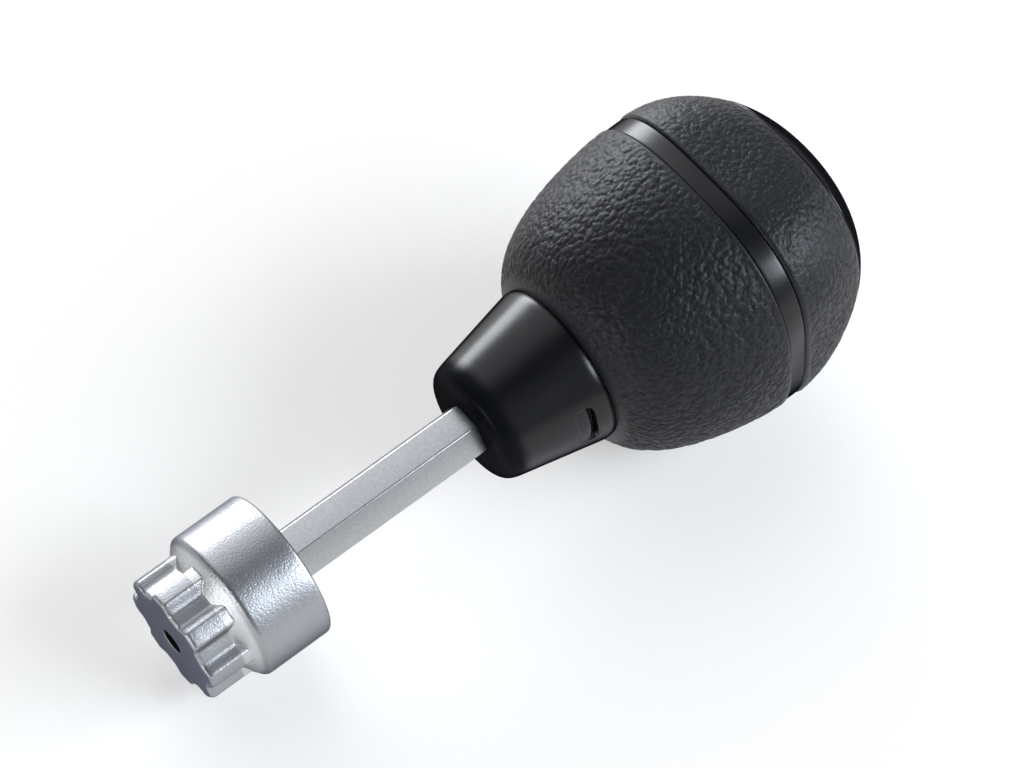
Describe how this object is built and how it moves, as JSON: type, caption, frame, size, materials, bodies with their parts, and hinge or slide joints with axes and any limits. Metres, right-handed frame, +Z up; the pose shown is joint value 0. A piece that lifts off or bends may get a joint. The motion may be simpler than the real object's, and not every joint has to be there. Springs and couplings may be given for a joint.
{
  "type": "crank arm installation tool",
  "caption": "Hand tool with a splined steel head on a hexagonal shank in a rubber-covered ball handle, for threading in the preload cap of a bicycle crank arm.",
  "frame": {"origin": "on the surface that the tool lies on, under the centre of its bounding box", "axes": "+X towards the splined head, along the tool's length seen from above; +Z up; the tool lies on one flat of its ball and on the front edge of its collar, so its own axis runs 8.1 degrees down towards the head"},
  "size_m": [0.0924, 0.0358, 0.0358],
  "materials": {
    "head_steel": "satin nickel plate with a fine blasted grain",
    "shank_steel": "drawn bar, satin plated",
    "core_plastic": "black, semi-gloss",
    "grip_rubber": "charcoal, leather grain",
    "cap_plastic": "black, glossy"
  },
  "bodies": {
    "root": {"splined_head": "head_steel", "hex_shank": "shank_steel", "handle_core": "core_plastic", "front_grip": "grip_rubber", "rear_grip": "grip_rubber", "end_cap": "cap_plastic"}
  },
  "joints": []
}
